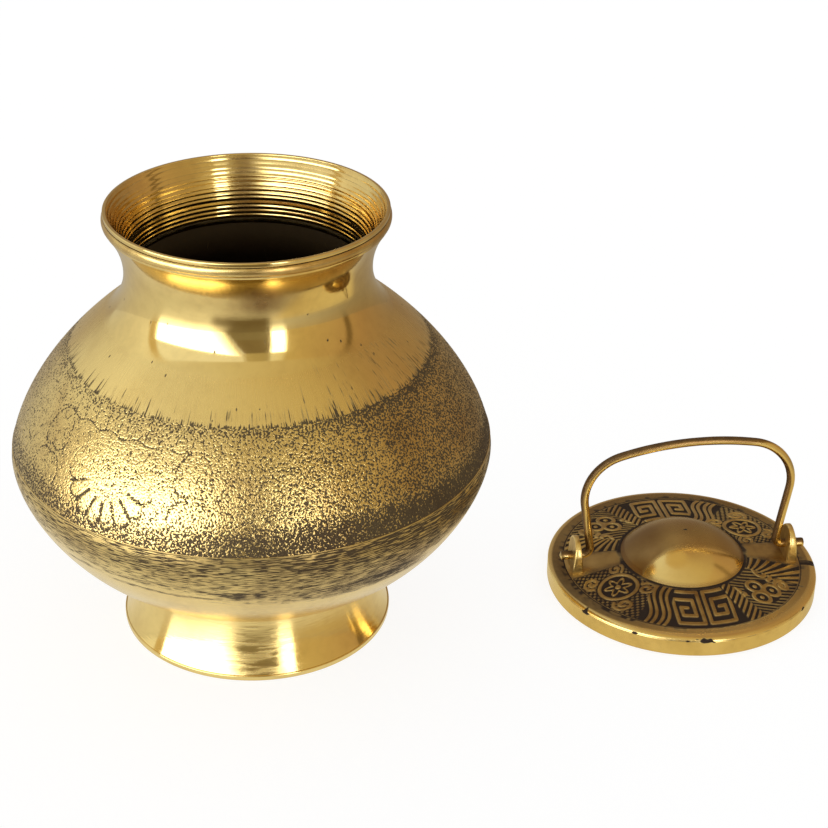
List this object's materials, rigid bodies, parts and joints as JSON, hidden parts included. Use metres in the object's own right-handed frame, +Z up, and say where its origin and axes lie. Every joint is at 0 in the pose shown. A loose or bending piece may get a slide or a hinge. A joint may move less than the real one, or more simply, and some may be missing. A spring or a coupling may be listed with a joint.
{
  "type": "lidded water pot",
  "caption": "Round-bellied brass water pot on a flared foot, with an engraved shoulder band, a beaded lip and a loose domed lid whose wire bail swings in two lugs.",
  "frame": {"origin": "on the pot's axis, on the floor that the foot stands on", "axes": "+Z up along the pot's axis, +X from the pot to the lid that lies beside it and along the bail's pivot line, +Y away from the picture's viewer"},
  "size_m": [0.2293, 0.1308, 0.1242],
  "materials": {
    "polished_brass": "bright polish",
    "turned_brass": "satin, turned lines with dark patina in them",
    "engraved_brass": "engraved and stippled, dark patina in the recesses",
    "neck_brass": "polish outside, turned ridges inside",
    "lid_band_brass": "polish with dark marks at the joint",
    "lid_brass": "raised pattern with dark recesses, polished dome",
    "lug_brass": "filed, slightly tarnished",
    "wire_brass": "drawn wire, slightly tarnished"
  },
  "bodies": {
    "pot": {"foot_ring": "polished_brass", "lower_bowl": "turned_brass", "upper_bowl": "engraved_brass", "neck_collar": "neck_brass", "rim_ring": "polished_brass"},
    "lid": {"lid_band": "lid_band_brass", "lid_plate": "lid_brass", "lug_left": "lug_brass", "lug_right": "lug_brass"},
    "bail": {"bail_handle": "wire_brass"}
  },
  "joints": [
    {"name": "lid_lift", "type": "slide", "parent": "pot", "child": "lid", "axis": [0, 0, 1], "range_m": [0, 0.2]},
    {"name": "bail_swing", "type": "hinge", "parent": "lid", "child": "bail", "pos_m": [0.12465, 0, 0.0102], "axis": [1, 0, 0], "range_deg": [-94, 94]}
  ]
}
